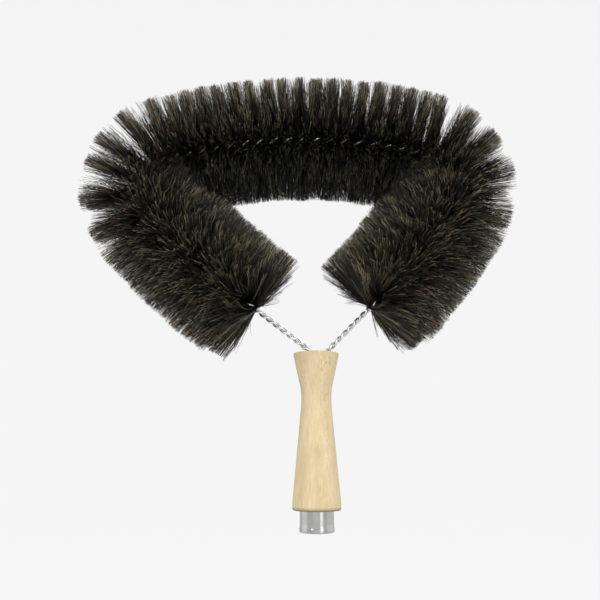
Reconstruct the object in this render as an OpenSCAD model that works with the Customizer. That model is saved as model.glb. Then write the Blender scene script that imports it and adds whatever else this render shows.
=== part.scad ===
// Ceiling dusting brush: horsehair clamped in a twisted wire, bent into a wide loop,
// with both wire ends set into a turned handle that has an aluminium pole socket at its foot.
// The origin is the centre of the socket's mouth. +Z runs up the handle, and the front is -Y.

/* [Pole socket] */
// Inside diameter of the socket, for a 24 mm pole
socket_bore_d = 24.6; // [22:0.1:26]
// Wall thickness of the socket tube
socket_wall = 0.8; // [0.5:0.1:1.2]
// Length of the socket that shows below the handle
socket_out = 16; // [10:1:24]
// Length of the socket that is pressed into the handle
socket_in = 29; // [20:1:40]
// How far the rolled lip stands out from the tube
socket_lip = 0.4; // [0.2:0.05:1.2]

/* [Handle] */
// Height of the turned handle
handle_h = 120; // [100:1:150]
// Diameter of the handle at its foot
foot_d = 37.4; // [34:0.2:44]
// Diameter of the handle at its waist
waist_d = 23.2; // [22:0.2:28]
// Diameter of the handle at its top
top_d = 36.2; // [32:0.2:40]
// Height of the waist above the foot of the handle
waist_h = 84; // [80:1:88]
// Radius of the rounded edges at the top and the foot
edge_r = 1; // [0.4:0.1:2]

/* [Wire] */
// Diameter of one wire strand
strand_d = 2.1; // [1.4:0.1:2.4]
// Gap between the two strands where they are bare
bare_gap = 0.3; // [0.1:0.05:0.6]
// Gap between the two strands where they clamp the hair
hair_gap = 1.6; // [0.6:0.1:2]
// Length of one full turn of the bare twist
bare_twist = 14; // [10:0.5:24]
// Depth that each wire end is set into the handle, up to the start of its bend
wire_depth = 21.5; // [14:0.5:24]
// Radius of the bend where each wire end leaves the handle
bend_r = 8; // [6:0.5:10]
// Distance from the handle's axis to the wire hole on the left
hole_x = 4.5; // [4:0.1:5.5]

/* [Brush] */
// Diameter of the round brush
hair_d = 104; // [80:1:106]
// Length of wire that one tuft takes, which is half a turn of the twist
tuft_step = 12.1; // [12:0.05:12.2]
// Gap left between one tuft and the next
tuft_gap = 0.2; // [0.1:0.05:0.4]
// Bare wire between the left bend and the hair
bare_left = 51.5; // [51:0.5:52]
// Bare wire between the hair and the right bend
bare_right = 47; // [46:0.5:48]

/* [Hidden] */
$fn = 96;
strand_sides = 6;
rings_per_turn = 10;
socket_r = socket_bore_d / 2 + socket_wall;
handle_top = socket_out + handle_h;
bore_relief = 1;
// Depth of the countersink at the mouth of each wire hole, and how much wider than the hole it is
sink_depth = 3;
sink_flare = 1.6;
// Depth below the top of the handle at which each wire starts to bend
bend_depth = 2.5;
hole_clearance = 0.05;
tuft_clearance = 0.15;
// The wire tapers from its bare twist to its open twist over this length on each side of the hair.
opening_l = 6;

bare_helix_r = (strand_d + bare_gap) / 2;
hair_helix_r = (strand_d + hair_gap) / 2;
hole_r = bare_helix_r + strand_d / 2 + hole_clearance;
tuft_bore_r = hair_helix_r + strand_d / 2 + tuft_clearance;

// The loop of hair: [tufts in the arc, clockwise turn of the arc in degrees].
HAIR_ARCS = [[10, 9.5], [5, 115.5], [18, 32], [5, 107], [9, 12.5]];
left_bend = 52;
right_bend = 44.5;
first_arc = 3;
function arc_length(angle, r) = r * angle * PI / 180;

// The whole centre line, from one hole to the other: [length, clockwise turn in degrees].
ARCS = concat(
    [[wire_depth, 0], [arc_length(left_bend, bend_r), -left_bend], [bare_left, 0]],
    [for (a = HAIR_ARCS) [a[0] * tuft_step, a[1]]],
    [[bare_right, 0], [arc_length(right_bend, bend_r), -right_bend], [wire_depth, 0]]
);

// A state is [distance along the wire, x, z, heading], with the heading counterclockwise from +X.
wire_start = [0, -hole_x, handle_top - bend_depth - wire_depth, 90];
function arc_radius(arc) = arc[0] / (arc[1] * PI / 180);
function along(state, arc, d) =
    let (turn = arc[1] * d / arc[0], h = state[3])
    arc[1] == 0
    ? [state[0] + d, state[1] + d * cos(h), state[2] + d * sin(h), h]
    : [
        state[0] + d,
        state[1] + arc_radius(arc) * (sin(h) - sin(h - turn)),
        state[2] - arc_radius(arc) * (cos(h) - cos(h - turn)),
        h - turn
    ];
function next(i, state) = i < len(ARCS) ? along(state, ARCS[i], ARCS[i][0]) : state;
STATES = [for (i = 0, s = wire_start; i <= len(ARCS); s = next(i, s), i = i + 1) s];
function arc_at(s) = max([for (i = [0:len(ARCS) - 1]) if (i == 0 || STATES[i][0] <= s) i]);
function wire_at(s) = let (i = arc_at(s)) along(STATES[i], ARCS[i], s - STATES[i][0]);

hair_start = STATES[first_arc][0];
hair_end = STATES[first_arc + len(HAIR_ARCS)][0];
wire_end = STATES[len(ARCS)];

// The twist: 0 where strand A is at the front and the tuft points straight out of the loop.
function twist_at(s) =
    s < hair_start ? -90 + 360 * (s - hair_start) / bare_twist
    : s > hair_end ? 180 * (hair_end - hair_start) / tuft_step - 90 + 360 * (s - hair_end) / bare_twist
    : -90 + 180 * (s - hair_start) / tuft_step;
function ease(t) = let (c = min(max(t, 0), 1)) c * c * (3 - 2 * c);
function openness(s) = ease(0.5 + min(s - hair_start, hair_end - s) / (2 * opening_l));
function helix_r(s) = bare_helix_r + (hair_helix_r - bare_helix_r) * openness(s);
function out_of_loop(state) = [-sin(state[3]), 0, cos(state[3])];
front = [0, -1, 0];
function strand_at(s, phase) =
    let (state = wire_at(s), angle = twist_at(s) + phase)
    [state[1], 0, state[2]] + helix_r(s) * (cos(angle) * front + sin(angle) * out_of_loop(state));

// One even division of a stretch of wire into rings.
function steps(from, to, step) =
    let (n = ceil((to - from) / step))
    [for (i = [0:n - 1]) from + (to - from) * i / n];
bare_step = bare_twist / rings_per_turn;
hair_step = 2 * tuft_step / rings_per_turn;
RINGS = concat(
    steps(0, hair_start, bare_step),
    steps(hair_start, hair_end, hair_step),
    steps(hair_end, wire_end[0], bare_step),
    [wire_end[0]]
);
function unit(v) = v / norm(v);
function ring(s, phase) =
    let (
        ahead = unit(strand_at(min(s + 0.1, wire_end[0]), phase) - strand_at(max(s - 0.1, 0), phase)),
        side = unit(cross(ahead, front)),
        up = cross(side, ahead)
    )
    [for (k = [0:strand_sides - 1])
        let (a = 360 * (k + 0.5) / strand_sides)
        strand_at(s, phase) + strand_d / 2 * (cos(a) * side + sin(a) * up)];

TUFTS = [for (a = [0:len(HAIR_ARCS) - 1]) for (k = [0:HAIR_ARCS[a][0] - 1]) [a, k]];
function tuft_name(i) = str("tuft_", i < 9 ? "0" : "", i + 1);

function bezier(a, b, c, d, n) = [
    for (i = [0:n])
        let (t = i / n, u = 1 - t)
        u * u * u * a + 3 * u * u * t * b + 3 * u * t * t * c + t * t * t * d
];
function rounding(centre, r, from, to, n) = [
    for (i = [0:n])
        let (a = from + (to - from) * i / n)
        centre + r * [cos(a), sin(a)]
];

// Everything that lies in the plane of the loop is drawn flat, then stood up to face the front.
module stand_up(x, z) {
    translate([x, 0, z]) rotate([90, 0, 0]) children();
}

// One hole for a wire end, countersunk where the wire starts to bend away.
module wire_hole(end) {
    bottom = end[2] - bore_relief;
    translate([end[1], 0, bottom]) cylinder(h = handle_h, r = hole_r);
    translate([end[1], 0, handle_top - sink_depth])
        cylinder(h = sink_depth + 1, r1 = hole_r, r2 = hole_r + sink_flare);
}

module handle() {
    foot_r = foot_d / 2;
    waist_r = waist_d / 2;
    top_r = top_d / 2;
    foot_z = socket_out;
    waist_z = socket_out + waist_h;
    outline = concat(
        [[0, foot_z]],
        rounding([foot_r - edge_r, foot_z + edge_r], edge_r, -90, 0, 5),
        bezier([foot_r, foot_z + 2.5], [foot_r, foot_z + 5], [foot_r - 0.1, foot_z + 6],
            [foot_r - 0.3, foot_z + 9], 3),
        bezier([waist_r + 0.7, waist_z - 9], [waist_r - 0.1, waist_z - 1], [waist_r + 0.1, waist_z + 6],
            [waist_r + 1.3, waist_z + 11], 10),
        bezier([waist_r + 1.8, waist_z + 13], [waist_r + 2.9, waist_z + 18], [top_r - 0.9, handle_top - 6],
            [top_r, handle_top - edge_r], 6),
        rounding([top_r - edge_r, handle_top - edge_r], edge_r, 15, 90, 4),
        [[0, handle_top]]
    );
    color("#dec9a0")
    difference() {
        rotate_extrude() polygon(outline);
        translate([0, 0, socket_out - 1]) cylinder(h = socket_in + bore_relief + 1, r = socket_r);
        wire_hole(wire_start);
        wire_hole(wire_end);
    }
}

module pole_socket() {
    bore_r = socket_bore_d / 2;
    lip_r = socket_r + socket_lip;
    round_r = 0.6;
    outline = concat(
        [[bore_r, 0]],
        rounding([lip_r - round_r, round_r], round_r, -90, 0, 5),
        bezier([lip_r, 1.6], [lip_r, 3.4], [socket_r, 3.2], [socket_r, 6], 6),
        [[socket_r, socket_out + socket_in], [bore_r, socket_out + socket_in]]
    );
    color("#c6c8ca") rotate_extrude() polygon(outline);
}

// One wire strand: a closed tube swept along its helix.
module wire_strand(phase) {
    n = len(RINGS);
    m = strand_sides;
    points = [for (s = RINGS) each ring(s, phase)];
    walls = [
        for (i = [0:n - 2]) for (k = [0:m - 1])
            let (a = i * m + k, b = i * m + (k + 1) % m)
            each [[a, b, b + m], [a, b + m, a + m]]
    ];
    caps = [[for (k = [m - 1:-1:0]) k], [for (k = [0:m - 1]) (n - 1) * m + k]];
    color("#b4b8ba") polyhedron(points, concat(walls, caps), convexity = 10);
}

// Everything past the bisector of a corner, on its later side (+1) or its earlier side (-1).
module past_corner(arc, side) {
    start = STATES[first_arc + arc];
    r = arc_radius(ARCS[first_arc + arc]);
    centre = [start[1] + r * sin(start[3]), start[2] - r * cos(start[3])];
    inward = start[3] + 90 - HAIR_ARCS[arc][1] / 2 + 180;
    big = 3 * hair_d;
    stand_up(centre[0], centre[1])
        rotate([0, 0, inward])
            translate([-big / 2, side > 0 ? -tuft_gap / 2 : tuft_gap / 2 - big, -big / 2])
                cube(big);
}

// One tuft of hair: its share of the round brush, as a slice of the bent tube, bored for the wire.
module tuft(i) {
    arc = TUFTS[i][0];
    state = STATES[first_arc + arc];
    turn = HAIR_ARCS[arc][1] / HAIR_ARCS[arc][0];
    r = arc_radius(ARCS[first_arc + arc]);
    gap = tuft_gap / r * 180 / PI;
    centre = [state[1] + r * sin(state[3]), state[2] - r * cos(state[3])];
    last_angle = state[3] + 90 - turn * (TUFTS[i][1] + 1);
    color("#2e2925")
    difference() {
        stand_up(centre[0], centre[1])
            rotate([0, 0, last_angle + gap / 2])
                rotate_extrude(angle = turn - gap)
                    difference() {
                        intersection() {
                            translate([r, 0]) circle(d = hair_d);
                            translate([1, -hair_d]) square([r + hair_d, 2 * hair_d]);
                        }
                        translate([r, 0]) circle(r = tuft_bore_r);
                    }
        if (arc == 0 || arc == 2) past_corner(arc + 1, 1);
        if (arc == 2 || arc == 4) past_corner(arc - 1, -1);
    }
}

handle();
pole_socket();
wire_strand(0);  // wire_strand_a
wire_strand(180);  // wire_strand_b
for (i = [0:len(TUFTS) - 1]) tuft(i);
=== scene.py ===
"""Looks for the ceiling dusting brush: horsehair in a twisted wire loop on a turned beech handle.

Everything is in metres and in the frame of the CAD part: the origin is the centre of the socket's mouth,
+Z runs up the handle and the front is -Y. The loop of the brush lies in the plane Y = 0.
"""

import math

import bpy
import numpy as np
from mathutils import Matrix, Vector


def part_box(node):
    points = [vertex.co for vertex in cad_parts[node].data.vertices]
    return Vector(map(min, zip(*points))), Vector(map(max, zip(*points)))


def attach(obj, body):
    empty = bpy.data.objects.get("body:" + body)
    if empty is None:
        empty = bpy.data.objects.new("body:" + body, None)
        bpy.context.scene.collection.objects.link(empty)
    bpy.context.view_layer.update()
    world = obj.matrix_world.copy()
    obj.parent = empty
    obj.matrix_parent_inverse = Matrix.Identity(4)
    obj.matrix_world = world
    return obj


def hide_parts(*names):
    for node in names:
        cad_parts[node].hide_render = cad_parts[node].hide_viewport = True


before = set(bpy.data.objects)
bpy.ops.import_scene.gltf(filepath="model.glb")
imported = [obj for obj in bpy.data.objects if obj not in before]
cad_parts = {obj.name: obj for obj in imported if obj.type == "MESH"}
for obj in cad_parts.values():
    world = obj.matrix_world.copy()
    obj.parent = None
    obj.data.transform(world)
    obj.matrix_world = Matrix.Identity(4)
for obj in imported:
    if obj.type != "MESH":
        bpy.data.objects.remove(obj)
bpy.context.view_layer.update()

MM = 0.001

# ---------------------------------------------------------------------------------------------
# The wire's centre line, as the CAD part has it
# ---------------------------------------------------------------------------------------------
STRAND_D = 2.1 * MM
BARE_GAP = 0.3 * MM
HAIR_GAP = 1.6 * MM
# How far the strands take for a full turn where bare. In the hair, each tuft takes half a turn.
BARE_TWIST = 14 * MM
WIRE_DEPTH = 21.5 * MM
BEND_R = 8 * MM
BEND_DEPTH = 2.5 * MM
HOLE_X = 4.5 * MM
HAIR_R = 52 * MM
TUFT_STEP = 12.1 * MM
BARE_LEFT = 51.5 * MM
BARE_RIGHT = 47 * MM
OPENING_L = 6 * MM
# The arcs that clamp hair, from the left leg to the right one: (tufts, clockwise turn in degrees).
HAIR_ARCS = [(10, 9.5), (5, 115.5), (18, 32), (5, 107), (9, 12.5)]
TUFTS = sum(count for count, _ in HAIR_ARCS)
# The bends at the handle, in degrees.
LEFT_BEND = 52
RIGHT_BEND = 44.5

HANDLE_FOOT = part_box("handle")[0].z
HANDLE_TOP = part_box("handle")[1].z
BARE_HELIX_R = (STRAND_D + BARE_GAP) / 2
HAIR_HELIX_R = (STRAND_D + HAIR_GAP) / 2
FRONT = np.array([0.0, -1.0, 0.0])

# One arc after another, from one hole in the handle to the other: (length, clockwise turn in radians).
ARCS = (
    [(WIRE_DEPTH, 0), (BEND_R * math.radians(LEFT_BEND), -math.radians(LEFT_BEND)), (BARE_LEFT, 0)]
    + [(count * TUFT_STEP, math.radians(turn)) for count, turn in HAIR_ARCS]
    + [(BARE_RIGHT, 0), (BEND_R * math.radians(RIGHT_BEND), -math.radians(RIGHT_BEND)), (WIRE_DEPTH, 0)]
)
# Which of ARCS is the first that clamps hair.
FIRST_ARC = 3


def along(state, arc, d):
    """The state (distance, x, z, heading) after going d along an arc from its starting state."""
    s, x, z, heading = state
    length, turn = arc
    if turn == 0:
        return s + d, x + d * np.cos(heading), z + d * np.sin(heading), heading + 0 * d
    r = length / turn
    after = heading - turn * d / length
    new_x = x + r * (np.sin(heading) - np.sin(after))
    new_z = z - r * (np.cos(heading) - np.cos(after))
    return s + d, new_x, new_z, after


STATES = [(0.0, -HOLE_X, HANDLE_TOP - BEND_DEPTH - WIRE_DEPTH, math.pi / 2)]
for arc in ARCS:
    STATES.append(tuple(float(v) for v in along(STATES[-1], arc, arc[0])))
HAIR_START = STATES[FIRST_ARC][0]
HAIR_END = STATES[FIRST_ARC + len(HAIR_ARCS)][0]
WIRE_LENGTH = STATES[-1][0]


def wire_frame(s):
    """Centre, forward and outward directions of the wire at each distance s."""
    s = np.atleast_1d(np.asarray(s, float))
    starts = np.array([state[0] for state in STATES[:-1]])
    which = np.clip(np.searchsorted(starts, s, side="right") - 1, 0, len(ARCS) - 1)
    x = np.zeros_like(s)
    z = np.zeros_like(s)
    heading = np.zeros_like(s)
    for i, arc in enumerate(ARCS):
        here = which == i
        _, x[here], z[here], heading[here] = along(STATES[i], arc, s[here] - STATES[i][0])
    zero = np.zeros_like(s)
    centre = np.stack([x, zero, z], 1)
    forward = np.stack([np.cos(heading), zero, np.sin(heading)], 1)
    outward = np.stack([-np.sin(heading), zero, np.cos(heading)], 1)
    return centre, forward, outward


def twist(s):
    """Angle of strand A about the wire: 0 at the front, a quarter turn at the outside of the loop."""
    hair_turns = math.pi * (HAIR_END - HAIR_START) / TUFT_STEP
    before = -math.pi / 2 + 2 * math.pi * (s - HAIR_START) / BARE_TWIST
    inside = -math.pi / 2 + math.pi * (s - HAIR_START) / TUFT_STEP
    after = hair_turns - math.pi / 2 + 2 * math.pi * (s - HAIR_END) / BARE_TWIST
    return np.where(s < HAIR_START, before, np.where(s > HAIR_END, after, inside))


def helix_r(s):
    """Distance of each strand from the centre line: small where bare, wider where it clamps hair."""
    t = np.clip(0.5 + np.minimum(s - HAIR_START, HAIR_END - s) / (2 * OPENING_L), 0, 1)
    return BARE_HELIX_R + (HAIR_HELIX_R - BARE_HELIX_R) * t * t * (3 - 2 * t)


# ---------------------------------------------------------------------------------------------
# Mesh and material helpers
# ---------------------------------------------------------------------------------------------
def make_mesh(name, verts, faces, uvs=None):
    """A smooth mesh object from arrays. uvs holds one (u, v) per vertex."""
    mesh = bpy.data.meshes.new(name)
    mesh.from_pydata(verts.tolist(), [], faces)
    if uvs is not None:
        loops = np.empty(len(mesh.loops), np.int32)
        mesh.loops.foreach_get("vertex_index", loops)
        layer = mesh.uv_layers.new(name="OFBake")
        layer.data.foreach_set("uv", uvs[loops].astype(np.float32).ravel())
    mesh.polygons.foreach_set("use_smooth", [True] * len(mesh.polygons))
    obj = bpy.data.objects.new(name, mesh)
    bpy.context.scene.collection.objects.link(obj)
    return obj


def unit(vectors):
    """Each vector at a length of 1."""
    return vectors / np.linalg.norm(vectors, axis=-1, keepdims=True)


def circles(side, up, sides):
    """Points on unit circles in the planes of the directions side and up."""
    a = 2 * math.pi * np.arange(sides) / sides
    return np.cos(a)[:, None] * side[..., None, :] + np.sin(a)[:, None] * up[..., None, :]


def tube_walls(rings, sides):
    """The four-sided faces that join rings of vertices into a tube."""
    return [
        (i * sides + k, i * sides + (k + 1) % sides, (i + 1) * sides + (k + 1) % sides, (i + 1) * sides + k)
        for i in range(rings - 1) for k in range(sides)
    ]


class Nodes:
    """A short way to write a node tree."""

    def __init__(self, name):
        self.material = bpy.data.materials.new(name)
        self.material.use_nodes = True
        self.tree = self.material.node_tree
        self.shader = self.tree.nodes["Principled BSDF"]

    def add(self, kind, **settings):
        node = self.tree.nodes.new("ShaderNode" + kind)
        for key, value in settings.items():
            setattr(node, key, value)
        return node

    def link(self, source, target):
        self.tree.links.new(source, target)

    def math(self, operation, a, b=0.5):
        node = self.add("Math", operation=operation)
        for socket, value in zip(node.inputs, (a, b)):
            if isinstance(value, (int, float)):
                socket.default_value = value
            else:
                self.link(value, socket)
        return node.outputs[0]

    def ramp(self, source, stops):
        node = self.add("ValToRGB")
        while len(node.color_ramp.elements) < len(stops):
            node.color_ramp.elements.new(0.5)
        for element, (position, colour) in zip(node.color_ramp.elements, stops):
            element.position = position
            element.color = (*colour, 1)
        self.link(source, node.inputs["Fac"])
        return node.outputs["Color"]

    def grey_ramp(self, source, stops):
        """A ramp of plain values from 0 to 1."""
        return self.ramp(source, [(position, (value,) * 3) for position, value in stops])

    def mix(self, factor, a, b, blend="MIX"):
        node = self.add("Mix", data_type="RGBA", blend_type=blend)
        colours = [socket for socket in node.inputs if socket.type == "RGBA"]
        for socket, value in zip((node.inputs["Factor"], *colours), (factor, a, b)):
            if isinstance(value, (int, float)):
                socket.default_value = value
            elif isinstance(value, tuple):
                socket.default_value = (*value, 1)
            else:
                self.link(value, socket)
        return [socket for socket in node.outputs if socket.type == "RGBA"][0]

    def stretched(self, scale):
        """Object coordinates stretched by a scale on each axis."""
        place = self.add("TexCoord")
        mapping = self.add("Mapping")
        mapping.inputs["Scale"].default_value = scale
        self.link(place.outputs["Object"], mapping.inputs["Vector"])
        return mapping.outputs["Vector"]

    def noise(self, vector, scale, detail, roughness=0.5):
        node = self.add("TexNoise")
        node.inputs["Scale"].default_value = scale
        node.inputs["Detail"].default_value = detail
        node.inputs["Roughness"].default_value = roughness
        self.link(vector, node.inputs["Vector"])
        return node.outputs["Fac"]

    def bump(self, height, strength, distance):
        node = self.add("Bump")
        node.inputs["Strength"].default_value = strength
        node.inputs["Distance"].default_value = distance
        self.link(height, node.inputs["Height"])
        self.link(node.outputs["Normal"], self.shader.inputs["Normal"])


# ---------------------------------------------------------------------------------------------
# Materials
# ---------------------------------------------------------------------------------------------
# Hair comes in this many shades, one for each column of its UV map. Up the map is from root to tip.
HAIR_SHADES = 64


def hair_material():
    """Horsehair: near black where clamped, paler and browner to the tip, with many shades and tints. The
    dark roots are partly painted shade deep in the brush; the browner tips are the hair's own colour.
    """
    n = Nodes("horsehair")
    uv = n.add("UVMap", uv_map="OFBake")
    split = n.add("SeparateXYZ")
    n.link(uv.outputs["UV"], split.inputs["Vector"])
    number = n.math("FLOOR", n.math("MULTIPLY", split.outputs["X"], HAIR_SHADES))
    pick = n.add("TexWhiteNoise", noise_dimensions="1D")
    n.link(number, pick.inputs["W"])
    shade = n.ramp(pick.outputs["Value"], [
        (0.00, (0.01, 0.01, 0.01)),
        (0.56, (0.04, 0.04, 0.04)),
        (0.68, (0.16, 0.13, 0.11)),
        (0.79, (0.23, 0.28, 0.22)),
        (0.89, (0.58, 0.55, 0.44)),
        (1.00, (0.96, 1.00, 0.86)),
    ])
    pick_tint = n.add("TexWhiteNoise", noise_dimensions="1D")
    n.link(n.math("ADD", number, HAIR_SHADES), pick_tint.inputs["W"])
    tint = n.ramp(pick_tint.outputs["Value"], [
        (0.00, (1.00, 0.76, 0.66)),
        (0.35, (1.00, 0.90, 0.80)),
        (0.65, (0.88, 1.00, 0.86)),
        (1.00, (0.84, 0.94, 1.00)),
    ])
    # Along each hair: dark roots, partly painted shade where the brush is dense and partly the hair's own
    # colour, then paler and browner tips.
    length = n.ramp(split.outputs["Y"], [
        (0.00, (0.026, 0.028, 0.025)),
        (0.45, (0.102, 0.108, 0.094)),
        (0.75, (0.228, 0.232, 0.200)),
        (0.92, (0.410, 0.365, 0.305)),
        (1.00, (0.570, 0.470, 0.380)),
    ])
    strand = n.mix(1.0, shade, tint, "MULTIPLY")
    n.link(n.mix(1.0, strand, length, "MULTIPLY"), n.shader.inputs["Base Color"])
    n.shader.inputs["Roughness"].default_value = 0.48
    n.shader.inputs["Specular IOR Level"].default_value = 0.24
    return n.material


def wire_material():
    """Galvanised steel wire, a little blotchy and dull."""
    n = Nodes("galvanised_wire")
    place = n.stretched((1, 1, 1))
    blotch = n.noise(place, 380, 3)
    colour = n.ramp(blotch, [(0.3, (0.54, 0.55, 0.55)), (0.7, (0.78, 0.79, 0.79))])
    n.link(colour, n.shader.inputs["Base Color"])
    n.link(n.grey_ramp(blotch, [(0.3, 0.38), (0.7, 0.24)]), n.shader.inputs["Roughness"])
    n.shader.inputs["Metallic"].default_value = 1.0
    n.bump(n.noise(place, 1400, 2), 0.25, 0.05 * MM)
    return n.material


def socket_material():
    """Drawn aluminium tube with fine lines along the draw and faint handling marks."""
    n = Nodes("drawn_aluminium")
    lines = n.noise(n.stretched((1, 1, 0.03)), 1800, 3, 0.6)
    marks = n.noise(n.stretched((1, 1, 1)), 120, 4)
    colour = n.ramp(marks, [(0.35, (0.36, 0.365, 0.355)), (0.65, (0.41, 0.415, 0.405))])
    n.link(colour, n.shader.inputs["Base Color"])
    n.link(n.grey_ramp(lines, [(0.3, 0.16), (0.7, 0.26)]), n.shader.inputs["Roughness"])
    n.shader.inputs["Metallic"].default_value = 1.0
    n.bump(lines, 0.12, 0.03 * MM)
    return n.material


BEECH_PALE = (0.640, 0.532, 0.335)
BEECH_WARM = (0.545, 0.430, 0.254)
BEECH_RING = (0.500, 0.365, 0.200)
BEECH_PORE = (0.430, 0.320, 0.175)
BEECH_FLECK = (0.330, 0.205, 0.100)
# The colour of the painted shade at the handle's foot.
BEECH_FOOT_SHADE = (0.200, 0.135, 0.062)
RING_STEP = 1.9 * MM
RING_WANDER = 4.5
# The middle of the trunk lies off to one side and leans a little.
PITH = (-0.030, 0.085, 0.0)
PITH_LEAN = (0.02, -0.07, 0.0)
# Ray flecks come in right of the middle, from 0.04 to 0.20 of this width.
FLECK_WIDTH = 25 * MM
FLECK_SCALE = (470, 470, 230)
FLECK_SHARE = 0.5
# Painted shade: the wood is painted darker at the foot of the handle, up to this height, where its rounded
# edge turns away from the light.
FOOT_SHADE_HEIGHT = 3 * MM


def growth_rings(n, place):
    """How far each point is into its growth ring's late wood, from 0 to 1."""
    wander = n.noise(n.stretched((1, 1, 0.14)), 60, 3, 0.55)
    trunk = n.add("Mapping")
    trunk.inputs["Location"].default_value = tuple(-v for v in PITH)
    trunk.inputs["Rotation"].default_value = PITH_LEAN
    n.link(place, trunk.inputs["Vector"])
    flat = n.add("VectorMath", operation="MULTIPLY")
    flat.inputs[1].default_value = (1, 1, 0)
    n.link(trunk.outputs["Vector"], flat.inputs[0])
    radius = n.add("VectorMath", operation="LENGTH")
    n.link(flat.outputs["Vector"], radius.inputs[0])
    straight = n.math("DIVIDE", radius.outputs["Value"], RING_STEP)
    rings = n.math("ADD", straight, n.math("MULTIPLY", wander, RING_WANDER))
    return n.grey_ramp(n.math("FRACT", rings), [(0.0, 0), (0.55, 0.35), (0.88, 1), (1.0, 0)])


def ray_flecks(n, x, patches):
    """Short dark dashes, in patches, mostly right of the middle."""
    cells = n.add("TexVoronoi", feature="F1", voronoi_dimensions="3D")
    cells.inputs["Scale"].default_value = 1.0
    n.link(n.stretched(FLECK_SCALE), cells.inputs["Vector"])
    core = n.grey_ramp(cells.outputs["Distance"], [(0.15, 1), (0.42, 0)])
    right = n.grey_ramp(n.math("DIVIDE", x, FLECK_WIDTH), [(0.04, 0.2), (0.20, 1)])
    here = n.grey_ramp(patches, [(0.46, 0), (0.62, 1)])
    dash = n.math("MULTIPLY", n.math("MULTIPLY", core, here), right)
    return n.math("MULTIPLY", dash, FLECK_SHARE)


def beech_material():
    """Beech: faint growth rings round a leaning pith, fine straight pores and short dark ray flecks."""
    n = Nodes("beech")
    place = n.add("TexCoord").outputs["Object"]
    axes = n.add("SeparateXYZ")
    n.link(place, axes.inputs["Vector"])
    late = growth_rings(n, place)
    pores = n.noise(n.stretched((1, 1, 0.03)), 1500, 4, 0.7)
    tone = n.noise(n.stretched((1, 1, 0.22)), 130, 3, 0.6)
    patches = n.noise(n.stretched((1, 1, 0.5)), 110, 2)
    base = n.ramp(tone, [(0.36, BEECH_PALE), (0.66, BEECH_WARM)])
    ring_share = n.grey_ramp(patches, [(0.40, 0.10), (0.65, 0.40)])
    ringed = n.mix(n.math("MULTIPLY", late, ring_share), base, BEECH_RING)
    pored = n.mix(n.grey_ramp(pores, [(0.46, 0), (0.78, 0.66)]), ringed, BEECH_PORE)
    flecked = n.mix(ray_flecks(n, axes.outputs["X"], patches), pored, BEECH_FLECK)
    # Painted shade along the rounded edge of the foot.
    above_foot = n.math("DIVIDE", n.math("SUBTRACT", axes.outputs["Z"], HANDLE_FOOT), FOOT_SHADE_HEIGHT)
    foot_shade = n.grey_ramp(above_foot, [(0.28, 0.9), (0.6, 0.4), (1.0, 0)])
    n.link(n.mix(foot_shade, flecked, BEECH_FOOT_SHADE), n.shader.inputs["Base Color"])
    n.link(n.grey_ramp(pores, [(0.3, 0.50), (0.7, 0.62)]), n.shader.inputs["Roughness"])
    n.shader.inputs["Specular IOR Level"].default_value = 0.30
    n.bump(pores, 0.12, 0.05 * MM)
    return n.material


SWEEP_GREY = 0.04
SWEEP_GLOW = 0.872


def stage_material():
    """A pale, evenly back-lit studio sweep."""
    n = Nodes("studio_sweep")
    n.shader.inputs["Base Color"].default_value = (SWEEP_GREY, SWEEP_GREY, SWEEP_GREY, 1)
    n.shader.inputs["Roughness"].default_value = 1.0
    n.shader.inputs["Specular IOR Level"].default_value = 0.0
    n.shader.inputs["Emission Color"].default_value = (1, 1, 1, 1)
    n.shader.inputs["Emission Strength"].default_value = SWEEP_GLOW
    return n.material


# ---------------------------------------------------------------------------------------------
# Wire strands
# ---------------------------------------------------------------------------------------------
STRAND_SIDES = 14
RINGS_PER_TURN = 22


def make_strand(name, phase, material):
    """One strand as a round tube swept along its helix, in place of the six-sided CAD strand."""
    step_bare = BARE_TWIST / RINGS_PER_TURN
    step_hair = 2 * TUFT_STEP / RINGS_PER_TURN
    s = np.concatenate([
        np.arange(0, HAIR_START, step_bare),
        np.arange(HAIR_START, HAIR_END, step_hair),
        np.arange(HAIR_END, WIRE_LENGTH, step_bare),
        [WIRE_LENGTH],
    ])
    centre, _, outward = wire_frame(s)
    angle = twist(s) + phase
    spoke = np.cos(angle)[:, None] * FRONT + np.sin(angle)[:, None] * outward
    path = centre + helix_r(s)[:, None] * spoke
    ahead = unit(np.gradient(path, axis=0))
    side = unit(np.cross(ahead, FRONT))
    rings = len(s)
    sides = STRAND_SIDES
    verts = path[:, None] + STRAND_D / 2 * circles(side, np.cross(side, ahead), sides)
    verts = verts.reshape(-1, 3)
    faces = tube_walls(rings, sides)
    faces += [tuple(range(sides))[::-1], tuple((rings - 1) * sides + k for k in range(sides))]
    obj = make_mesh(name, verts, faces)
    obj.data.materials.append(material)
    return obj


# ---------------------------------------------------------------------------------------------
# Hair
# ---------------------------------------------------------------------------------------------
HAIRS_PER_TUFT = 2000
LOCKS_PER_TUFT = 440
FIRST_SEED = 7100
HAIR_STOPS = (0.0, 0.38, 0.72, 1.0)
ROOT_W = 0.34 * MM
TIP_W = 0.20 * MM
# A hair's three sides are set out from a slanting direction, and each has its place across a column of
# the UV map.
HAIR_SIDES = 3
SIDES_U = (0.2, 0.5, 0.8)
ASLANT = np.array([0.31, 0.22, 0.93])

# One value for each of HAIR_ARCS. Hair lies in a fan round the twist: its half width in degrees, and the
# share of locks that lie in the wide fan instead.
HAIR_FANS = (64, 27, 42, 27, 64)
WIDE_SHARES = (0.22, 0.15, 0.10, 0.15, 0.22)
WIDE_FAN = 85
# Reach as a share of the hair's full length, and how much more of it on the outside of the loop.
HAIR_REACHES = (1.01, 0.995, 0.985, 0.99, 1.005)
OUTER_REACHES = (0.030, 0.0, 0.0, 0.0, 0.020)
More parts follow.
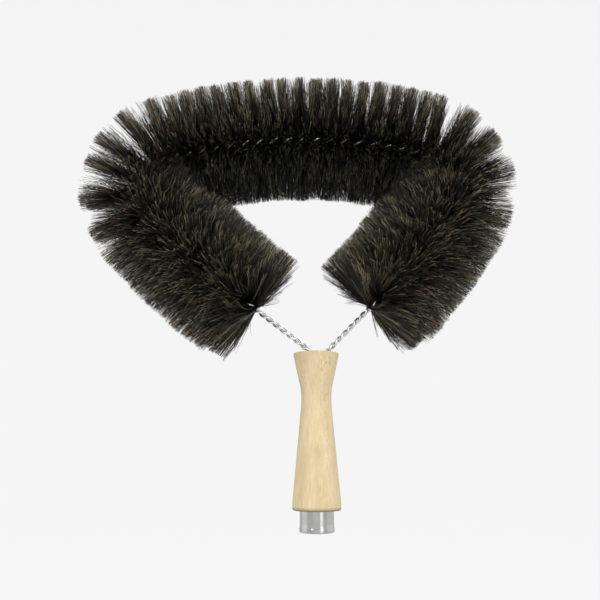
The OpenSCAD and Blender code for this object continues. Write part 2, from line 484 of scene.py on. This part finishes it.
# How wild the locks are, and how much more hair bends that points at the viewer or away, so that it
# hides the wire.
WILDNESS = (1.5, 1.0, 1.0, 1.0, 1.5)
FACING_BENDS = (1.6, 0.6, 0.0, 0.6, 1.6)
# Painted shade: hair inside the loop is painted darker between the corners, where less light reaches it
# from below: the share of its colour ramp that it gives up.
INNER_PAINTED_SHADE = (0.04, 0.20, 0.30, 0.20, 0.0)

# The first and last tufts fan out in the plane of the loop and leave the wire bare to the viewer.
END_FAN = 66
END_TILT = 7.5
END_OUTER_REACH = -0.07
# Hair outside the loop keeps together in tufts: the share of the wire's turn within a tuft it gives back.
GATHER = 0.55
# Painted light: tufts near the bare ends are painted paler closer to the wire, where the lamps light their
# end faces too little: {tuft: where on its ramp hair begins}.
END_PAINTED_LIGHT = {1: 0.70, 2: 0.42, 3: 0.15, 42: 0.12, 43: 0.24, 44: 0.36, 45: 0.48, 46: 0.66, 47: 0.85}
# How far tufts lean along the wire on the outside of the loop: {tuft: degrees towards the next tuft}.
LEANS = {
    11: 2, 13: 3, 14: -9, 15: -12, 16: -9, 17: -5, 18: -5, 19: -5, 20: -5, 21: -5, 22: -4.5,
    23: -2, 24: -3, 25: -1, 26: -1.5, 27: -1.5, 34: -11, 35: -11, 36: -12, 37: -8,
}

# Standard deviations for whole locks. Bow, sway and tilt (in degrees) grow with the locks' wildness.
LOCK_REACH = 0.010
LOCK_BOW = 0.045
LOCK_SWAY = 0.032
LOCK_TILT = 2.4
# Standard deviations for hairs: place as a share of TUFT_STEP, turn and tilt in degrees.
HAIR_PLACE = 0.035
HAIR_TURN = 1.0
HAIR_TILT = 0.55
HAIR_SWAY = 0.010
HAIR_BOW = 0.012
HAIR_REACH = 0.007
# How much more locks and hairs tilt inside the loop.
INNER_LOCK_TILT = 3.0
INNER_HAIR_TILT = 0.3
# The share of hairs that are short, their least and greatest reach, and the mean reach of the others.
SHORT_SHARE = 0.15
SHORT_REACH = (0.65, 0.98)
TRIMMED_REACH = 0.994
# The share of hairs that don't have their lock's shade, and where on the colour ramp hair begins and ends.
STRAY_SHARE = 0.35
RAMP_START = 0.02
RAMP_END = 0.98
# Hair is clamped across this share of the gap between the strands, on each side of the centre line.
CLAMP_SHARE = 0.45


def column(values):
    """One value for each hair, ready to scale an array of (hair, stop, axis)."""
    return values[:, None, None]


def hair_tubes(points, width, shades, tones):
    """Closed three-sided tubes along rows of points: vertices, faces and one UV per vertex.

    shades holds each hair's column of the UV map, and tones where on its colour ramp it begins and ends.
    """
    count, rings = points.shape[:2]
    ahead = unit(np.gradient(points, axis=1))
    side = unit(np.cross(ahead, ASLANT))
    around = circles(side, np.cross(side, ahead), HAIR_SIDES)
    verts = points[:, :, None] + width[None, :, None, None] / 2 * around
    last = (rings - 1) * HAIR_SIDES
    tube = tube_walls(rings, HAIR_SIDES) + [(2, 1, 0), (last, last + 1, last + 2)]
    size = rings * HAIR_SIDES
    faces = [tuple(h * size + corner for corner in face) for h in range(count) for face in tube]
    u = (column(shades) + np.array(SIDES_U)) / HAIR_SHADES
    v = tones[:, :1] + (tones[:, 1:] - tones[:, :1]) * np.array(HAIR_STOPS)
    uvs = np.stack(np.broadcast_arrays(u, v[:, :, None]), -1).reshape(-1, 2)
    return verts.reshape(-1, 3), faces, uvs


def arc_of(index):
    """Which of HAIR_ARCS a tuft lies in."""
    ends = np.cumsum([count for count, _ in HAIR_ARCS])
    return int(np.searchsorted(ends, index, side="right"))


def draw_locks(rng, arc):
    """What the hairs of each lock share: its place on the wire, direction, reach and bend."""
    count = LOCKS_PER_TUFT
    at = rng.uniform(-0.5, 0.5, count)
    fan = np.where(rng.random(count) < WIDE_SHARES[arc], WIDE_FAN, HAIR_FANS[arc])
    return {
        "at": at,
        "turn": np.radians(fan) * rng.uniform(-1, 1, count),
        "tilt": rng.normal(0, 1, count),
        "reach": rng.normal(1.0, LOCK_REACH, count) * rng.normal(1.0, LOCK_REACH),
        "side": rng.choice([-1.0, 1.0], count),
        "bow": rng.normal(0, LOCK_BOW * WILDNESS[arc], count),
        "sway": rng.normal(0, LOCK_SWAY * WILDNESS[arc], count),
        "end_turn": math.radians(END_FAN) * rng.uniform(-1, 1, count),
        "end_tilt": math.radians(END_TILT) * rng.uniform(-1, 1, count),
    }


def hair_lines(rng, index, hair):
    """The points of each hair from root to tip, and how far out of the loop it points, from -1 to 1."""
    n = HAIRS_PER_TUFT
    arc = arc_of(index)
    from_end = min(index, TUFTS - 1 - index)
    middle = HAIR_START + (index + 0.5) * TUFT_STEP
    s = middle + (hair["at"] + rng.normal(0, HAIR_PLACE, n)) * TUFT_STEP
    s = np.where(s < HAIR_START, 2 * HAIR_START - s, s)
    s = np.where(s > HAIR_END, 2 * HAIR_END - s, s)
    centre, forward, outward = wire_frame(s)

    # The clamp line runs from strand to strand, and hair leaves the wire square to it on both sides.
    angle = hair["end_turn"] if from_end == 0 else twist(s) + (index % 2) * math.pi + hair["turn"]
    angle = angle + rng.normal(0, math.radians(HAIR_TURN), n)
    clamp_line = np.cos(angle)[:, None] * FRONT + np.sin(angle)[:, None] * outward
    ray = hair["side"][:, None] * (np.cos(angle)[:, None] * outward - np.sin(angle)[:, None] * FRONT)
    out = (ray * outward).sum(1)

    # Hair on the inside of the loop is pushed together and mingles; outside it stays in tufts.
    inside = np.clip(0.5 - out, 0, 1)
    outside = np.clip(out, 0, 1)
    tilt = hair["tilt"] * np.radians(LOCK_TILT * WILDNESS[arc] + INNER_LOCK_TILT * inside)
    if from_end == 0:
        tilt = hair["end_tilt"]
    tilt = tilt + rng.normal(0, 1, n) * np.radians(HAIR_TILT + INNER_HAIR_TILT * inside)
    tilt += math.radians(LEANS.get(index + 1, 0)) * outside
    _, ahead, _ = wire_frame(middle)
    tilt -= GATHER * np.arcsin((outward * ahead).sum(1)) * outside

    # Bow is across the wire and sway along it. Next to the bare wire, hair sways only towards the brush.
    loose = 1 + FACING_BENDS[arc] * np.abs((ray * FRONT).sum(1))
    sway = hair["sway"] * loose + rng.normal(0, HAIR_SWAY, n)
    bow = hair["bow"] * loose + rng.normal(0, HAIR_BOW, n)
    if from_end == 0:
        sway = hair["sway"]
    if from_end <= 1:
        sway = np.abs(sway) * (1 if index < TUFTS / 2 else -1)

    short = rng.random(n) < SHORT_SHARE
    outer = END_OUTER_REACH if from_end == 0 else OUTER_REACHES[arc]
    reach = HAIR_R * HAIR_REACHES[arc] * hair["reach"] * (1 + outer * outside)
    reach = reach * np.where(short, rng.uniform(*SHORT_REACH, n), rng.normal(TRIMMED_REACH, HAIR_REACH, n))

    t = np.array(HAIR_STOPS)[None, :, None]
    start = centre + clamp_line * (rng.uniform(-CLAMP_SHARE, CLAMP_SHARE, n) * HAIR_GAP)[:, None]
    way = np.cos(tilt)[:, None] * ray + np.sin(tilt)[:, None] * forward
    bend = bow[:, None] * clamp_line + sway[:, None] * forward
    # The brush is trimmed round, so a bent hair's tip is as far out as a straight one's.
    reach = reach / np.linalg.norm(way + bend, axis=1)
    return start[:, None] + column(reach) * (t * way[:, None] + t * t * bend[:, None]), out


def make_tuft(index, material):
    """The hair that one half turn of the wire clamps, fanning round the wire as the twist turns."""
    rng = np.random.default_rng(FIRST_SEED + index)
    n = HAIRS_PER_TUFT
    arc = arc_of(index)
    lock = rng.integers(0, LOCKS_PER_TUFT, n)
    hair = {key: values[lock] for key, values in draw_locks(rng, arc).items()}
    points, out = hair_lines(rng, index, hair)

    lock_shade = rng.integers(0, HAIR_SHADES, LOCKS_PER_TUFT)
    stray = rng.random(n) < STRAY_SHARE
    shades = np.where(stray, rng.integers(0, HAIR_SHADES, n), lock_shade[lock])
    # Painted light: hair of the tufts near the bare ends starts paler on its colour ramp.
    begins = np.full(n, max(RAMP_START, END_PAINTED_LIGHT.get(index + 1, 0)))
    # Painted shade: hair inside the loop ends darker on its colour ramp.
    ends = RAMP_END - INNER_PAINTED_SHADE[arc] * np.clip(-out, 0, 1)
    width = np.interp(HAIR_STOPS, (0, 1), (ROOT_W, TIP_W))
    verts, faces, uvs = hair_tubes(points, width, shades, np.stack([begins, ends], 1))
    obj = make_mesh(f"hair_{index + 1:02d}", verts, faces, uvs)
    obj.data.materials.append(material)
    return obj


# ---------------------------------------------------------------------------------------------
# Stage, lights and camera
# ---------------------------------------------------------------------------------------------
CAMERA_DISTANCE = 540 * MM
CAMERA_HEIGHT = 62.9 * MM
CAMERA_X = -12.8 * MM
CAMERA_TILT = math.radians(12.2)
# The sensor's width in millimetres, and the lens as a share of it.
SENSOR = 36
FOCAL = 680 / 600
LIGHT_TARGET = (0, 0, 0.16)
FLOOR_Z = -0.15
SWEEP_R = 2.6
SWEEP_BEND = 1.0
SWEEP_TOP = 3.0
SWEEP_HUB = 0.02
SWEEP_SIDES = 96
BEND_RINGS = 13
SKY = 0.9

# Each light: name, azimuth and elevation in degrees, distance, width and height, and power in watts.
LIGHTS = [
    ("key_right", 34, 22, 1.3, (0.24, 0.90), 4.1),
    ("window_left", -33, 21, 1.3, (0.26, 0.70), 2.8),
    ("wire_glint", 0, 28, 1.3, (0.14, 0.14), 1.2),
    ("streak_right", 30, -8, 1.3, (0.40, 0.60), 1.35),
    ("low_front", -8, -12, 1.3, (0.80, 0.45), 0.34),
    ("side_left", -92, -4, 1.3, (1.1, 0.75), 1.7),
    ("side_right", 98, -4, 1.3, (1.5, 0.75), 1.2),
    ("top", 0, 78, 1.4, (1.2, 1.2), 11),
]


def make_camera():
    data = bpy.data.cameras.new("camera")
    data.sensor_width = SENSOR
    data.lens = SENSOR * FOCAL
    data.clip_start = 0.01
    data.clip_end = 50
    camera = bpy.data.objects.new("camera", data)
    bpy.context.scene.collection.objects.link(camera)
    camera.location = (CAMERA_X, -CAMERA_DISTANCE, CAMERA_HEIGHT)
    camera.rotation_euler = (math.pi / 2 + CAMERA_TILT, 0, 0)
    bpy.context.scene.camera = camera


def make_light(name, azimuth, elevation, distance, size, power):
    """A soft box that faces the middle of the brush. Azimuth 0 is the front, 90 the right."""
    target = Vector(LIGHT_TARGET)
    a = math.radians(azimuth)
    e = math.radians(elevation)
    away = Vector((math.sin(a) * math.cos(e), -math.cos(a) * math.cos(e), math.sin(e)))
    data = bpy.data.lights.new(name, "AREA")
    data.shape = "RECTANGLE"
    data.size = size[0]
    data.size_y = size[1]
    data.energy = power
    light = bpy.data.objects.new(name, data)
    bpy.context.scene.collection.objects.link(light)
    light.location = target + away * distance
    light.rotation_euler = (-away).to_track_quat("-Z", "Y").to_euler()


def make_world():
    world = bpy.data.worlds.new("studio")
    bpy.context.scene.world = world
    world.use_nodes = True
    background = world.node_tree.nodes["Background"]
    background.inputs["Color"].default_value = (1, 1, 1, 1)
    background.inputs["Strength"].default_value = SKY


def make_floor():
    """A round floor that curves up into a wall all about the brush, so no edge shows from any side."""
    quarter = np.linspace(0, math.pi / 2, BEND_RINGS)
    bend_r = SWEEP_R - SWEEP_BEND + SWEEP_BEND * np.sin(quarter)
    bend_z = FLOOR_Z + SWEEP_BEND - SWEEP_BEND * np.cos(quarter)
    r = np.concatenate([[SWEEP_HUB], bend_r, [SWEEP_R]])
    z = np.concatenate([[FLOOR_Z], bend_z, [SWEEP_TOP]])
    a = 2 * math.pi * np.arange(SWEEP_SIDES) / SWEEP_SIDES
    verts = np.stack([np.outer(r, np.cos(a)), np.outer(r, np.sin(a)), np.outer(z, np.ones_like(a))], -1)
    verts = verts.reshape(-1, 3)
    faces = tube_walls(len(r), SWEEP_SIDES) + [tuple(range(SWEEP_SIDES))[::-1]]
    floor = make_mesh("floor", verts, faces)
    floor.data.materials.append(stage_material())


# ---------------------------------------------------------------------------------------------
# Making everything
# ---------------------------------------------------------------------------------------------
make_camera()
make_floor()
make_world()
for light in LIGHTS:
    make_light(*light)
bpy.context.scene.view_settings.view_transform = "Standard"

beech = beech_material()
aluminium = socket_material()
steel = wire_material()
hair = hair_material()

for node, material in (("handle", beech), ("pole_socket", aluminium)):
    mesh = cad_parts[node].data
    mesh.materials.clear()
    mesh.materials.append(material)

for letter, phase in (("a", 0.0), ("b", math.pi)):
    strand = make_strand(f"twisted_wire_{letter}", phase, steel)
    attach(strand, "root")
    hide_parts(f"wire_strand_{letter}")

for i in range(TUFTS):
    tuft = make_tuft(i, hair)
    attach(tuft, "root")
    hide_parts(f"tuft_{i + 1:02d}")
